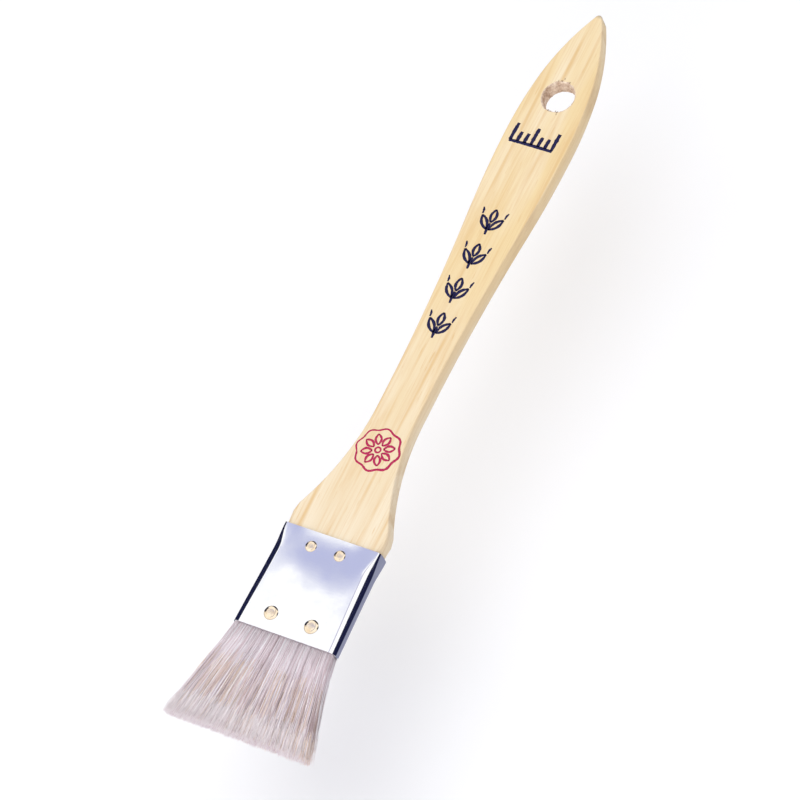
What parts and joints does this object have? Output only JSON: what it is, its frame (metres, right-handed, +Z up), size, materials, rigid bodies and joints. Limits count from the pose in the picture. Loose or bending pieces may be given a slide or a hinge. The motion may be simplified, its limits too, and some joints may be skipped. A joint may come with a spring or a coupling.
{
  "type": "pastry brush",
  "caption": "Flat pastry brush with a shaped wooden handle, a hanging hole, a wrapped metal ferrule with brass pins and a flared tuft of soft hair that flexes.",
  "frame": {"origin": "bottom centre of the brush's bounding box, the brush lying on its back", "axes": "+Y along the brush to the hanging end, +X to the right across the face, +Z up out of the face"},
  "size_m": [0.0414, 0.219, 0.0067],
  "materials": {
    "handle_wood": "bare, finely sanded pale wood with printed ink marks",
    "ferrule_metal": "bright plated sheet metal",
    "pin_brass": "pale brass, domed and burnished",
    "resin": "cured amber setting resin",
    "spacer_wood": "raw thin wood strip",
    "hair": "soft straight animal hair, fine trimmed tips"
  },
  "bodies": {
    "brush": {"handle": "handle_wood", "ferrule": "ferrule_metal", "upper_pin_left": "pin_brass", "upper_pin_right": "pin_brass", "lower_pin_left": "pin_brass", "lower_pin_right": "pin_brass", "setting_resin": "resin", "spacer_strip": "spacer_wood", "hair_root_front": "hair", "hair_root_back": "hair"},
    "tuft": {"tuft_front_layer": "hair", "tuft_back_layer": "hair"}
  },
  "joints": [
    {"name": "hair_flex", "type": "hinge", "parent": "brush", "child": "tuft", "pos_m": [0, -0.08317, 0.00334], "axis": [1, 0, 0], "range_deg": [-40, 40], "stiffness_Nm_per_rad": 0.03}
  ]
}
